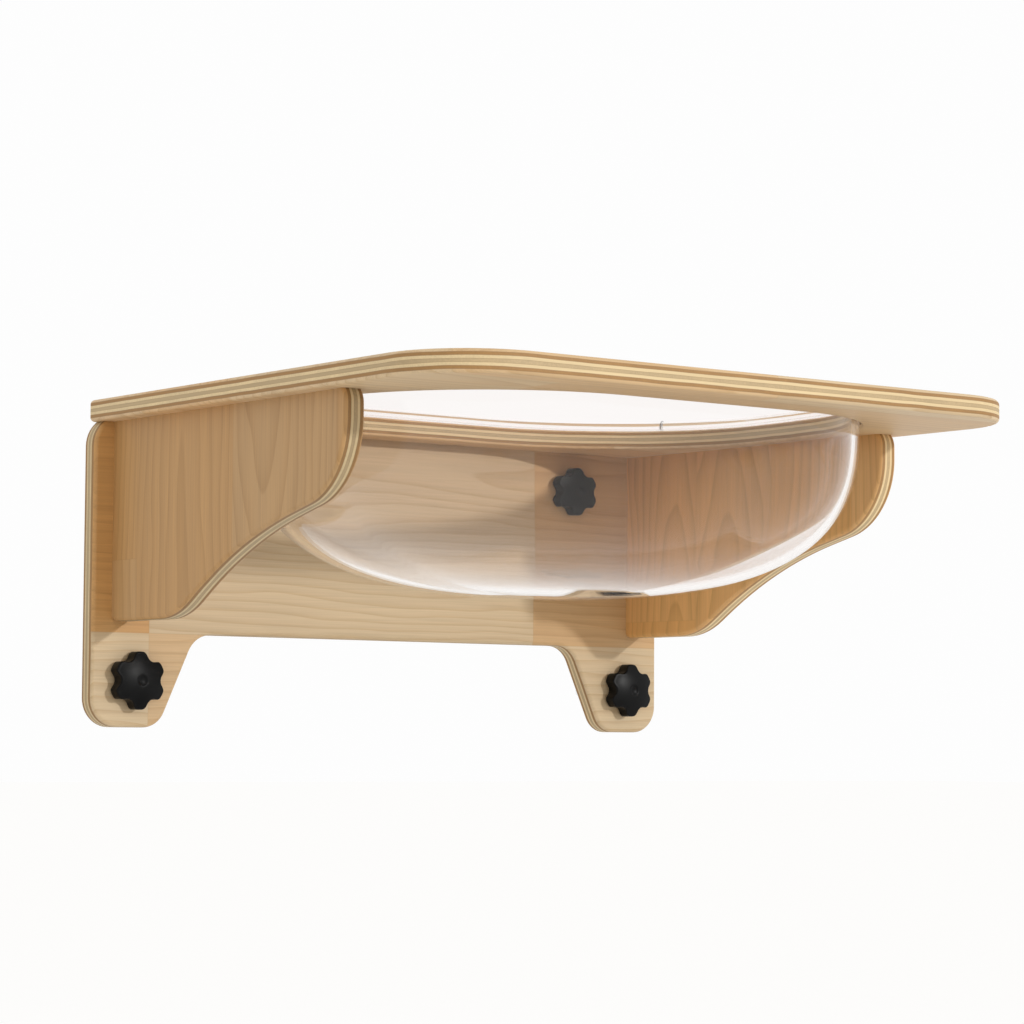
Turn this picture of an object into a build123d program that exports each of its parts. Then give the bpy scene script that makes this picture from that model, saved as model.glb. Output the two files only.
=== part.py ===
from build123d import *
from math import cos, pi, radians, sin, tan
import os

# Window perch for a cat: a plywood shelf on two brackets, a clear drop-in bowl, and a back
# board that four suction cups hold to the glass, each drawn tight by a star knob.
#
# Millimetres. +X runs right along the window as seen from the room, +Y points through the
# glass to the outside, +Z is up. The origin lies on the glass, in the middle of the four cups.

# Plywood
ply = 15.0
edge_round = 3.0

# Back board, a plate with two legs
board_width = 500.0
board_height = 210.0
board_top_corner = 17.0
leg_foot_width = 54.0
leg_rise = 65.0
leg_lean_angle = 24.5
leg_outer_round = 20.0
leg_inner_round = 18.0
notch_round = 20.0

# Suction cups, set in from the edges of the board, with one knob in front of each
cup_edge = 32.0
upper_cup_inset = 85.0
lower_cup_inset = 32.5

# Shelf
shelf_reveal = 2.0
shelf_depth = 423.0
shelf_front_corner = 64.0
shelf_back_corner = 6.0
front_rail = 51.0
back_rail = 40.0
bracket_clear = 12.0
hole_corner_share = 0.4036
hole_top_round = 4.0
hole_bottom_round = 1.5

# Brackets: a flat foot, a slope that eases outwards, a full chin and an upright front edge
bracket_inset = 15.0
bracket_foot_gap = 72.5
bracket_reach = 283.0
bracket_front_corner = 9.0
bracket_heel_corner = 4.0
foot_reach_share = 0.286
foot_round_share = 0.247
waist_reach_share = 0.562
waist_drop_share = 0.652
waist_round_share = 1.378
chin_drop_share = 0.4385
chin_round_share = 0.8965

# Bowl, formed from one clear sheet
acrylic = 5.0
bowl_clearance = 1.5
dome_depth = 120.5
dome_power = 2.69
dome_sections = 9
dome_last_share = 0.94
flange_overlap = 13.5
flange_edge_round = 1.5
bend_outer_round = 3.2
bend_inner_round = 5.0

# Locating pins that stand in the shelf and pass through the flange of the bowl
pin_radius = 1.25
pin_clearance = 0.4
pin_stand = 2.6
pin_sink = 9.0
pin_bearing = 35.0

# Suction cup
cup_standoff = 12.0
cup_radius = 22.0
cup_land = 2.0
cup_lip = 1.0
cup_hollow = 4.0
cup_neck_radius = 8.0
cup_neck_length = 5.0
cup_flare = 2.0
tab_width = 8.0
tab_reach = 3.5

# Stud, its head moulded into the cup
stud_radius = 3.0
stud_head_radius = 6.0
stud_head_thickness = 2.5
stud_head_depth = 3.0
stud_end_gap = 1.0
stud_hole_clearance = 0.3

# Washer
washer_radius = 8.0
washer_thickness = 1.6
washer_clearance = 0.2

# Star knob with its threaded insert
knob_radius = 20.0
knob_valley_radius = 15.5
knob_lobes = 6
scallop_radius = 6.5
knob_height = 12.5
knob_rise = 3.5
knob_corner_round = 2.0
knob_edge_bevel = 1.0
dimple_radius = 4.0
dimple_depth = 1.0
insert_radius = 4.8
insert_cover = 2.9
insert_floor = 0.6
thread_clearance = 0.05

# Countersunk wood screws
screw_radius = 2.0
screw_head_radius = 4.0
screw_length = 40.0
screw_clearance = 0.05
bracket_screw_shares = (0.16, 0.50, 0.84)
shelf_screw_shares = (0.16, 0.50, 0.84)
board_screw_shares = (-0.76, -0.26, 0.26, 0.76)

# Overrun of every cut
over = 2.0

# Places that follow from the sizes
board_back = -cup_standoff
board_front = board_back - ply
board_middle = board_back - ply / 2
board_top = board_height / 2
board_bottom = -board_height / 2
upper_row = board_top - cup_edge
lower_row = board_bottom + cup_edge
shelf_top = board_top + ply
flange_top = shelf_top + acrylic
bracket_height = board_height - bracket_foot_gap
bracket_middle = board_width / 2 - bracket_inset - ply / 2
shelf_width = board_width - 2 * shelf_reveal
hole_width = 2 * (bracket_middle - ply / 2 - bracket_clear)
hole_depth = shelf_depth - front_rail - back_rail
hole_corner = hole_corner_share * hole_depth
hole_centre = board_back - back_rail - hole_depth / 2
insert_length = knob_height - insert_cover
bore_depth = insert_length - insert_floor
upper_x = board_width / 2 - upper_cup_inset
lower_x = board_width / 2 - lower_cup_inset
run_out = edge_round + over
cup_places = {
    "upper_left": (-upper_x, upper_row),
    "upper_right": (upper_x, upper_row),
    "lower_left": (-lower_x, lower_row),
    "lower_right": (lower_x, lower_row),
}


def into_room(x, y, z):
    """Plane parallel to the glass: its x is +X, its y is +Z, its normal points into the room."""
    return Plane(origin=(x, y, z), x_dir=(1, 0, 0), z_dir=(0, -1, 0))


def downwards(x, y, z):
    """Plane with its normal pointing straight down."""
    return Plane(origin=(x, y, z), x_dir=(1, 0, 0), z_dir=(0, 0, -1))


def turned(outline):
    """Solid of revolution from a closed half outline of (radius, height) round the local Z axis."""
    return revolve(Plane.XZ * make_face(outline), Axis.Z)


def round_over(sheet, across):
    """Run a round-over cutter along both faces of a sheet, whose thickness lies on one axis."""
    rings = sheet.edges().group_by(across)
    return fillet(rings[0] + rings[-1], edge_round)


# Screws: the same outline makes the piece and, grown by its clearance, its hole

def screw_solid(grow):
    """Countersunk screw with its head at the origin and its shank along +Z."""
    shank = screw_radius + grow
    head = screw_head_radius + grow
    length = screw_length + grow
    outline = Polyline((0, 0), (head, 0), (shank, head - shank), (shank, length), (0, length), close=True)
    return turned(outline)


def screw_holes(places):
    """Cutters for the holes of the screws that stand on the given planes."""
    entry = Pos(0, 0, -over / 2) * Cylinder(screw_head_radius + screw_clearance, over)
    cutter = screw_solid(screw_clearance) + entry
    return [place * cutter for place in places]


def bracket_joint(side):
    """Screws from behind the board into one bracket."""
    drops = [share * bracket_height for share in bracket_screw_shares]
    return [into_room(side * bracket_middle, board_back, board_top - drop) for drop in drops]


def shelf_joint(side):
    """Screws from the top of the shelf into one bracket."""
    reaches = [share * bracket_reach for share in shelf_screw_shares]
    return [downwards(side * bracket_middle, board_front - reach, shelf_top) for reach in reaches]


def board_joint():
    """Screws from the top of the shelf into the edge of the board."""
    return [downwards(share * board_width / 2, board_middle, shelf_top) for share in board_screw_shares]


# Plywood pieces: blanks are rounded over all round, then planed flush where they meet

def back_board():
    """Back board with its stud holes and the screw holes that reach it."""
    side = board_width / 2
    foot = side - leg_foot_width
    lean = leg_rise * tan(radians(leg_lean_angle))
    outline = FilletPolyline(
        (-side, board_top + run_out),
        (-side, board_bottom),
        (-foot, board_bottom),
        (lean - foot, board_bottom + leg_rise),
        (foot - lean, board_bottom + leg_rise),
        (foot, board_bottom),
        (side, board_bottom),
        (side, board_top + run_out),
        radius=[
            board_top_corner + run_out,
            leg_outer_round,
            leg_inner_round,
            notch_round,
            notch_round,
            leg_inner_round,
            leg_outer_round,
            board_top_corner + run_out,
        ],
        close=True,
    )
    blank = extrude(into_room(0, board_back, 0) * make_face(outline), amount=ply)
    blank = round_over(blank, Axis.Y)
    planed = Pos(0, board_middle, board_top + run_out) * Box(board_width + over, ply + over, 2 * run_out)
    stud_hole = Cylinder(stud_radius + stud_hole_clearance, ply + over)
    stud_holes = [into_room(x, board_middle, z) * stud_hole for x, z in cup_places.values()]
    return blank - [planed] - stud_holes - screw_holes(bracket_joint(-1) + bracket_joint(1) + board_joint())


def bracket(side):
    """One bracket, square where it meets the board and the shelf."""
    outline = FilletPolyline(
        (-run_out, board_top + run_out),
        (-run_out, board_top - bracket_height),
        (foot_reach_share * bracket_reach, board_top - bracket_height),
        (waist_reach_share * bracket_reach, board_top - waist_drop_share * bracket_height),
        (bracket_reach, board_top - chin_drop_share * bracket_height),
        (bracket_reach, board_top + run_out),
        radius=[
            0,
            bracket_heel_corner + run_out,
            foot_round_share * bracket_reach,
            waist_round_share * bracket_reach,
            chin_round_share * chin_drop_share * bracket_height,
            bracket_front_corner + run_out,
        ],
        close=True,
    )
    x = side * bracket_middle
    sketch = Plane(origin=(x + ply / 2, board_front, 0), x_dir=(0, -1, 0), z_dir=(-1, 0, 0))
    blank = round_over(extrude(sketch * make_face(outline), amount=ply), Axis.X)
    length = 2 * (bracket_reach + over)
    above = Pos(x, board_front, board_top + run_out) * Box(ply + over, length, 2 * run_out)
    behind = Pos(x, board_front + run_out, board_top) * Box(ply + over, 2 * run_out, 2 * bracket_height + over)
    return blank - [above, behind] - screw_holes(bracket_joint(side) + shelf_joint(side))


def shelf():
    """Shelf with large front corners, the hole for the bowl and the screw holes."""
    side = shelf_width / 2
    front = board_back - shelf_depth
    outline = FilletPolyline(
        (-side, board_back),
        (-side, front),
        (side, front),
        (side, board_back),
        radius=[shelf_back_corner, shelf_front_corner, shelf_front_corner, shelf_back_corner],
        close=True,
    )
    sheet = extrude(Plane(origin=(0, 0, board_top)) * make_face(outline), amount=ply)
    sheet = round_over(sheet, Axis.Z)
    sheet -= plan_prism(hole_width, hole_depth, hole_corner, board_top - over, ply + 2 * over)
    for level, radius in ((-1, hole_top_round), (0, hole_bottom_round)):
        ring = sheet.edges().group_by(Axis.Z)[level]
        sheet = fillet([edge for edge in ring if in_plan_of_hole(edge)], radius)
    pin_holes = [place * Cylinder(pin_radius, 2 * pin_sink) for place in pin_places()]
    return sheet - screw_holes(shelf_joint(-1) + shelf_joint(1) + board_joint()) - pin_holes


def in_plan_of_hole(edge):
    """Tell whether an edge of the shelf belongs to the hole, not to the outline."""
    centre = edge.center()
    beside = abs(centre.X) < (hole_width + shelf_width) / 4
    return beside and abs(centre.Y - hole_centre) < (hole_depth + back_rail) / 2


# Bowl: every level of it is the same rounded rectangle, over the middle of the hole

def plan_prism(width, depth, corner, low, height):
    """Upright prism on the plan of the hole."""
    return extrude(Pos(0, hole_centre, low) * RectangleRounded(width, depth, corner), amount=height)


def dome(inset, depth):
    """Dome below the shelf: at angle t its plan shrinks as cos(t)^(2/n), its drop grows as sin(t)^(2/n)."""
    sections = []
    for step in range(dome_sections):
        angle = dome_last_share * pi / 2 * step / (dome_sections - 1)
        scale = cos(angle) ** (2 / dome_power)
        drop = depth * sin(angle) ** (2 / dome_power)
        plan = RectangleRounded(
            scale * (hole_width - 2 * inset), scale * (hole_depth - 2 * inset), scale * (hole_corner - inset)
        )
        sections.append(Pos(0, hole_centre, board_top - drop) * plan)
    return loft(sections)


def bowl_form(inset, depth, height):
    """Dome with the straight wall on it, all one sheet thickness or clearance inside the hole."""
    width = hole_width - 2 * inset
    wall = plan_prism(width, hole_depth - 2 * inset, hole_corner - inset, board_top, height)
    return dome(inset, depth) + wall


def bowl():
    """Clear bowl that hangs in the hole by its flange."""
    grow = flange_overlap
    flange = plan_prism(hole_width + 2 * grow, hole_depth + 2 * grow, hole_corner + grow, shelf_top, acrylic)
    flange = fillet(flange.edges().group_by(Axis.Z)[-1], flange_edge_round)
    outer = bowl_form(bowl_clearance, dome_depth, ply + acrylic / 2) + flange
    outer = fillet(bend_edges(outer, shelf_top, bowl_clearance), bend_outer_round)
    inset = bowl_clearance + acrylic
    shell = outer - bowl_form(inset, dome_depth - acrylic, ply + acrylic + over)
    shell = fillet(bend_edges(shell, flange_top, inset), bend_inner_round)
    pin_hole = Cylinder(pin_radius + pin_clearance, 2 * (acrylic + over))
    return shell - [place * pin_hole for place in pin_places()]


def bend_edges(solid, level, inset):
    """Edges at one level where the wall turns out into the flange."""
    near = acrylic / 4
    half_width = hole_width / 2 - inset + near
    half_depth = hole_depth / 2 - inset + near
    found = []
    for edge in solid.edges():
        middle = edge.center()
        box = edge.bounding_box()
        level_edge = abs(middle.Z - level) < near and box.max.Z - box.min.Z < near
        if level_edge and abs(middle.X) < half_width and abs(middle.Y - hole_centre) < half_depth:
            found.append(edge)
    return found


def pin_places():
    """Points on the shelf in the middle of the flange, one at each rounded corner."""
    reach = hole_corner + flange_overlap / 2
    x = hole_width / 2 - hole_corner + reach * cos(radians(pin_bearing))
    y = hole_depth / 2 - hole_corner + reach * sin(radians(pin_bearing))
    return [Pos(right * x, hole_centre + back * y, shelf_top) for right in (-1, 1) for back in (-1, 1)]


def bowl_pins():
    """Four headless pins."""
    length = pin_sink + acrylic + pin_stand
    pin = Pos(0, 0, length / 2 - pin_sink) * Cylinder(pin_radius, length)
    return [place * pin for place in pin_places()]


# Suction cup, stud, washer and knob, each drawn with the glass at 0 and the room along +Z

def suction_cup(side):
    """Cup with a thin lip, a neck up to the board and a tab that lifts the lip off the glass."""
    shoulder = cup_standoff - cup_neck_length
    hollow_radius = cup_radius - cup_land
    neck = (cup_neck_radius, cup_standoff)
    outside = Polyline((0, cup_hollow), (0, cup_standoff), neck, (cup_neck_radius, shoulder))
    flare = SagittaArc((cup_neck_radius, shoulder), (cup_radius, cup_lip), cup_flare)
    lip = Polyline((cup_radius, cup_lip), (cup_radius, 0), (hollow_radius, 0))
    hollow = TangentArc((0, cup_hollow), (hollow_radius, 0), tangent=(1, 0))
    cup = turned(outside + flare + lip + hollow)
    tab_length = cup_land + tab_reach
    tab_middle = cup_radius + tab_reach - tab_length / 2
    tab = Pos(-side * tab_middle, 0, cup_lip / 2) * Box(tab_length, tab_width, cup_lip)
    return cup + tab - stud()


def stud():
    """Stud from its moulded-in head to its end inside the insert."""
    head_low = cup_standoff - stud_head_depth - stud_head_thickness
    end = cup_standoff + ply + washer_thickness + bore_depth - stud_end_gap
    head = Pos(0, 0, head_low + stud_head_thickness / 2) * Cylinder(stud_head_radius, stud_head_thickness)
    shank = Pos(0, 0, (head_low + end) / 2) * Cylinder(stud_radius, end - head_low)
    return head + shank


def washer():
    """Plain washer between the board and the knob."""
    ring = Circle(washer_radius) - Circle(stud_radius + washer_clearance)
    return Pos(0, 0, cup_standoff + ply) * extrude(ring, amount=washer_thickness)


def knob_seat():
    """Place of the back of the knob, on the washer."""
    return Pos(0, 0, cup_standoff + ply + washer_thickness)


def knob_insert():
    """Insert with a blind bore for the stud."""
    blank = Pos(0, 0, insert_length / 2) * Cylinder(insert_radius, insert_length)
    depth = bore_depth + over
    bore = Pos(0, 0, bore_depth - depth / 2) * Cylinder(stud_radius + thread_clearance, depth)
    return knob_seat() * (blank - bore)


def knob():
    """Star knob: scalloped rim, low crown with a dimple, and a pocket for the insert."""
    scallop = Circle(scallop_radius)
    star = Circle(knob_radius)
    for index in range(knob_lobes):
        star -= Rot(0, 0, index * 360 / knob_lobes) * Pos(knob_valley_radius + scallop_radius, 0) * scallop
    star = fillet(star.vertices(), knob_corner_round)
    wide = knob_radius + over
    shoulder = knob_height - knob_rise
    sides = Polyline((0, knob_height), (0, 0), (wide, 0), (wide, shoulder))
    crown = TangentArc((0, knob_height), (wide, shoulder), tangent=(1, 0))
    body = extrude(star, amount=knob_height) & turned(sides + crown)
    rim = [edge for edge in body.edges() if edge.bounding_box().min.Z > knob_height / 2]
    body = chamfer(rim, knob_edge_bevel)
    ball_radius = (dimple_radius**2 + dimple_depth**2) / (2 * dimple_depth)
    body -= Pos(0, 0, knob_height - dimple_depth + ball_radius) * Sphere(ball_radius)
    pocket = Pos(0, 0, insert_length / 2) * Cylinder(insert_radius, insert_length)
    return knob_seat() * (body - pocket)


# Nodes

def on_cup(name, piece):
    """Put a piece drawn from the glass outwards on the axis of one cup."""
    x, z = cup_places[name]
    return into_room(x, 0, z) * piece


def nodes():
    """Every sub-part by name, as a list of its solids."""
    parts = {
        "back_board": [back_board()],
        "left_bracket": [bracket(-1)],
        "right_bracket": [bracket(1)],
        "shelf": [shelf()],
        "bowl": [bowl()],
        "bowl_pins": bowl_pins(),
        "bracket_screws": [place * screw_solid(0) for place in bracket_joint(-1) + bracket_joint(1)],
        "shelf_bracket_screws": [place * screw_solid(0) for place in shelf_joint(-1) + shelf_joint(1)],
        "shelf_board_screws": [place * screw_solid(0) for place in board_joint()],
    }
    for name, (x, z) in cup_places.items():
        side = 1 if x > 0 else -1
        parts["cup_" + name] = [on_cup(name, suction_cup(side))]
        parts["stud_" + name] = [on_cup(name, stud())]
        parts["washer_" + name] = [on_cup(name, washer())]
        parts["knob_" + name] = [on_cup(name, knob())]
        parts["insert_" + name] = [on_cup(name, knob_insert())]
    return parts


os.makedirs("parts", exist_ok=True)
for node, solids in nodes().items():
    whole = solids[0] if len(solids) == 1 else Compound(children=solids)
    export_step(whole, f"parts/{node}.step")
    print(node, len(solids), round(sum(solid.volume for solid in solids), 1))
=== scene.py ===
# %% [markdown]
# # A window perch for a cat, dressed over its CAD frame
#
# The frame comes first: the plywood plates, the bowl, the fasteners and the four cups, exactly
# where the drawing has them. Nothing of it is moved here. Plates whose solid is already right
# keep their mesh and get a better finish. Pieces that need finer curves, such as the bowl and the
# knobs, are worked out again in the same place and stand for their node. Many of their sizes are
# read from the frame.

# %% Load the frame and keep its box
from math import cos, pi, radians, sin

import bpy
import numpy as np
from mathutils import Matrix, Vector


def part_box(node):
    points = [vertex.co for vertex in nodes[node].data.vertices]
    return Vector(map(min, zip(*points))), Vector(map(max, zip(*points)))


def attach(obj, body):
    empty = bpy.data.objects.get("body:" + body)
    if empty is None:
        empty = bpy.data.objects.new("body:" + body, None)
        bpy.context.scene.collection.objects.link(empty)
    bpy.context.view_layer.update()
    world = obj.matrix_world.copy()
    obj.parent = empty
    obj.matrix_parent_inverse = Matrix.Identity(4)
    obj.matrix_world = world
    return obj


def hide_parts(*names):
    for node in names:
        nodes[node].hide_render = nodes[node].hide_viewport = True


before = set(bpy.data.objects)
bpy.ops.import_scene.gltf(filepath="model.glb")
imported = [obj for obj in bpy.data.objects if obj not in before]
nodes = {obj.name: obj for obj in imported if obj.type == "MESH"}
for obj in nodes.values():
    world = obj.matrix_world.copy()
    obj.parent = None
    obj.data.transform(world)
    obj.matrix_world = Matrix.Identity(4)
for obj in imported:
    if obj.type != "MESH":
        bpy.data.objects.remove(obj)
bpy.context.scene.view_settings.view_transform = "Standard"
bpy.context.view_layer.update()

# %% [markdown]
# ## The camera
#
# The picture was taken from the left and a little below the shelf, with a long lens, so that
# parallel edges hardly converge. Three directions describe the camera: where it looks, its right
# side and its upper side. Building its matrix from them is plainer than guessing three angles,
# and a very small roll is one turn of the last two.

# %% Camera from its place and three directions
yaw, pitch, roll = radians(37.16), radians(4.15), radians(0.37)
camera_place = (-1.3538, -1.9571, -0.1163)
focal_length, sensor_width = 113.5, 36.0

ahead = Vector((sin(yaw) * cos(pitch), cos(yaw) * cos(pitch), sin(pitch)))
level_right = Vector((cos(yaw), -sin(yaw), 0))
level_up = level_right.cross(ahead)
right = level_right * cos(roll) + level_up * sin(roll)
up = level_up * cos(roll) - level_right * sin(roll)
axes = Matrix((right, up, -ahead)).transposed().to_4x4()

camera_data = bpy.data.cameras.new("camera")
camera_data.lens = focal_length
camera_data.sensor_width = sensor_width
camera = bpy.data.objects.new("camera", camera_data)
camera.matrix_world = Matrix.Translation(camera_place) @ axes
bpy.context.scene.collection.objects.link(camera)
bpy.context.scene.camera = camera
print("camera looks along", [round(value, 3) for value in ahead])

# %% [markdown]
# ## A few helpers for every shader
#
# A shader tree is a list of nodes, each with some inputs. An input is either a plain value or
# the output of another node, so one helper that takes both keeps a whole tree as short as a
# formula. Sums, blends and changes of range are so common that each gets its own helper.

# %% Helpers that place shader nodes
def give(tree, inputs, values):
    """Set each input to its plain value, or link it to the output that is given for it."""
    for key, value in values.items():
        if isinstance(value, bpy.types.NodeSocket):
            tree.links.new(value, inputs[key])
        else:
            inputs[key].default_value = value


def add(tree, kind, values=None, **settings):
    """Add one node, make its settings and give its inputs their values."""
    made = tree.nodes.new(kind)
    for key, value in settings.items():
        setattr(made, key, value)
    give(tree, made.inputs, values or {})
    return made


def calc(tree, operation, a, b=0.0, c=0.0, clamp=False):
    """Result of one sum on up to three numbers."""
    values = {0: a, 1: b, 2: c}
    return add(tree, "ShaderNodeMath", values, operation=operation, use_clamp=clamp).outputs[0]


def blend(tree, share, a, b, kind="MIX"):
    """Colour between a and b."""
    values = {0: share, 6: a, 7: b}
    return add(tree, "ShaderNodeMix", values, data_type="RGBA", blend_type=kind).outputs[2]


def rescale(tree, value, low, high, new_low=0.0, new_high=1.0, kind="LINEAR"):
    """Value from low..high moved onto new_low..new_high, and held there."""
    values = {0: value, 1: low, 2: high, 3: new_low, 4: new_high}
    return add(tree, "ShaderNodeMapRange", values, interpolation_type=kind).outputs[0]


print("shader helpers ready")

# %% [markdown]
# ## Places, noise and bumps
#
# A surface that isn't the same everywhere starts from a place on the object. A noise changes with
# that place, and often a bump follows the noise. Nearly every material here is built that way.

# %% Helpers for places, noise and materials
def stretch(tree, place, factors, shift=(0.0, 0.0, 0.0)):
    """Place times three factors, plus a shift."""
    values = {0: place, 1: factors, 2: shift}
    return add(tree, "ShaderNodeVectorMath", values, operation="MULTIPLY_ADD").outputs[0]


def noise(tree, place, scale=1.0, detail=2.0):
    """Soft random value at a place, mostly between 0.3 and 0.7."""
    values = {"Vector": place, "Scale": scale, "Detail": detail}
    return add(tree, "ShaderNodeTexNoise", values).outputs["Fac"]


def object_place(tree):
    """Place of a point on the object, in metres."""
    return add(tree, "ShaderNodeTexCoord").outputs["Object"]


def new_material(name):
    """Empty material with a Principled shader, as (material, tree, shader's inputs)."""
    material = bpy.data.materials.new(name)
    material.use_nodes = True
    tree = material.node_tree
    return material, tree, tree.nodes["Principled BSDF"].inputs


def bump(tree, height, strength, distance):
    """Normal tilted by a height that changes over the surface."""
    values = {"Height": height, "Strength": strength, "Distance": distance}
    return add(tree, "ShaderNodeBump", values).outputs[0]


print("material helpers ready")

# %% [markdown]
# ## White studio
#
# The perch hangs in front of plain white. A backdrop could be lit until it burns out, but that
# light would also flood the wood. So the world lights the wood at a plain level, and only the
# rays of the eye, of gloss and of clear plastic see it as white.

# %% World
fill_colour = (0.81, 0.79, 0.765, 1.0)
backdrop_colour = (0.985, 0.985, 0.985, 1.0)


def seen_directly(tree):
    """1 for rays from the camera, off gloss and through clear plastic, and 0 for all others."""
    path = add(tree, "ShaderNodeLightPath").outputs
    either = calc(tree, "MAXIMUM", path["Is Camera Ray"], path["Is Glossy Ray"])
    return calc(tree, "MAXIMUM", either, path["Is Transmission Ray"])


world = bpy.data.worlds.new("white_studio")
world.use_nodes = True
bpy.context.scene.world = world
tree = world.node_tree
sky = blend(tree, seen_directly(tree), fill_colour, backdrop_colour)
give(tree, tree.nodes["Background"].inputs, {"Color": sky})
print("world lights the wood with", fill_colour[:3])

# %% [markdown]
# ## Floor
#
# The floor is pale, lies well below and keeps the shadow of the perch. By itself it would be a
# little darker than the backdrop and draw a horizon, so where it is seen directly it also glows
# a little, in a cool tone that makes up for the warm lamp. Its back is open, so that a view from
# below looks through it.

# %% Floor
floor_colour = (0.90, 0.90, 0.90, 1.0)
glow_colour, glow_strength = (0.88, 0.94, 1.0, 1.0), 0.21
floor_reach, floor_height = 30.0, -0.55

floor_material, tree, shader = new_material("pale_floor")
below = add(tree, "ShaderNodeNewGeometry").outputs["Backfacing"]
give(tree, shader, {
    "Base Color": floor_colour,
    "Roughness": 0.9,
    "Specular IOR Level": 0.0,
    "Emission Color": glow_colour,
    "Emission Strength": calc(tree, "MULTIPLY", seen_directly(tree), glow_strength),
    "Alpha": calc(tree, "SUBTRACT", 1.0, below),
})

floor_mesh = bpy.data.meshes.new("floor")
signs = ((-1, -1), (1, -1), (1, 1), (-1, 1))
square = [(x * floor_reach, y * floor_reach, floor_height) for x, y in signs]
floor_mesh.from_pydata(square, [], [(0, 1, 2, 3)])
floor_mesh.materials.append(floor_material)
floor = bpy.data.objects.new("floor", floor_mesh)
bpy.context.scene.collection.objects.link(floor)
print("floor at", floor_height, "m")

# %% [markdown]
# ## The key light
#
# The shadows of the bracket feet fall to the left and down across the two legs of the board, with
# edges that are crisp but not razor sharp. That is a lamp to the right, in front and a little
# above, with some width. A sun lamp gives the same direction everywhere, and its angle is its
# width. Rays that have passed through clear plastic don't see the lamp itself, because its small
# disc would show there as a white spot.

# %% Key light
key_strength, key_width = 1.1, radians(2.5)
key_colour = (1.0, 0.99, 0.97)
towards_key = Vector((0.36, -1.0, 0.24))

key_data = bpy.data.lights.new("key", "SUN")
key_data.energy = key_strength
key_data.angle = key_width
key_data.color = key_colour
key = bpy.data.objects.new("key", key_data)
key.rotation_mode = "QUATERNION"
key.rotation_quaternion = towards_key.to_track_quat("Z", "Y")
key.visible_transmission = False
bpy.context.scene.collection.objects.link(key)
print("key light from", [round(value, 2) for value in towards_key.normalized()])

# %% [markdown]
# ## Staves
#
# A wide face veneer is joined from staves, each cut from another place in the tree. The pattern
# is worked out in metres, on a place given as (along the grain, across it, through the sheet).
# Dividing that place by the size of a stave and rounding down gives the number of the row and of
# the column, and what is left over is the place inside the stave. The tone steps on by a fixed
# part of its range from one stave to the next, so that neighbours always differ.

# %% Sockets, staves and their tone
stave_inputs = [
    ("Place", "Vector", None),
    ("Stave Length", "Float", 0.4),
    ("Stave Width", "Float", 0.09),
    ("Stagger", "Float", 0.38),
    ("Ring Spacing", "Float", 0.007),
    ("Seed", "Float", 0.0),
]
row_step, column_step = 0.59, 0.45


def new_group(name, inputs, outputs):
    """Empty node group with named sockets, as (tree, given values, results)."""
    tree = bpy.data.node_groups.new(name, "ShaderNodeTree")
    for label, kind, value in inputs:
        socket = tree.interface.new_socket(label, in_out="INPUT", socket_type="NodeSocket" + kind)
        if value is not None:
            socket.default_value = value
    for label, kind in outputs:
        tree.interface.new_socket(label, in_out="OUTPUT", socket_type="NodeSocket" + kind)
    return tree, tree.nodes.new("NodeGroupInput").outputs, tree.nodes.new("NodeGroupOutput").inputs


def split(tree, value):
    """Whole number below a value, and the rest of it counted from the middle, -0.5 to 0.5."""
    whole = calc(tree, "FLOOR", value)
    return whole, calc(tree, "SUBTRACT", calc(tree, "SUBTRACT", value, whole), 0.5)


def find_stave(tree, given, along, across):
    """(row, column, place across the stave, place along it). Each row starts further along."""
    row, in_row = split(tree, calc(tree, "DIVIDE", across, given["Stave Width"]))
    start = calc(tree, "MULTIPLY", row, given["Stagger"])
    columns = calc(tree, "DIVIDE", along, given["Stave Length"])
    column, in_column = split(tree, calc(tree, "ADD", columns, start))
    return row, column, in_row, in_column


def stave_tone(tree, given, row, column):
    """Tone from 0 to 1 that steps on with each row and each column."""
    turn = calc(tree, "MULTIPLY_ADD", column, column_step, given["Seed"])
    return calc(tree, "FRACT", calc(tree, "MULTIPLY_ADD", row, row_step, turn))


print("a veneer is given", [label for label, kind, value in stave_inputs])

# %% [markdown]
# ## Rings
#
# A tree grows in rings round its pith. A plank cut beside the pith shows the rings as lines that
# run with the grain and close into tall arches where the cut leaves a ring. That is one formula:
# the distance of a point from a pith that lies some way below the face and leans a little. Every
# stave gets its own pith from a random number that depends only on the number of the stave.

# %% Rings from the distance to a pith
wave_scale, wave_reach = (5.0, 22.0, 22.0), 0.028
stave_jump = (40.0, 40.0, 40.0)
pith_aside, pith_lean, pith_depth = (-0.05, 0.03), (-0.12, 0.12), 0.03
uneven_scale, uneven_rings = 0.6, 2.0
ring_sharpness, ring_end = 3.0, 0.93


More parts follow.
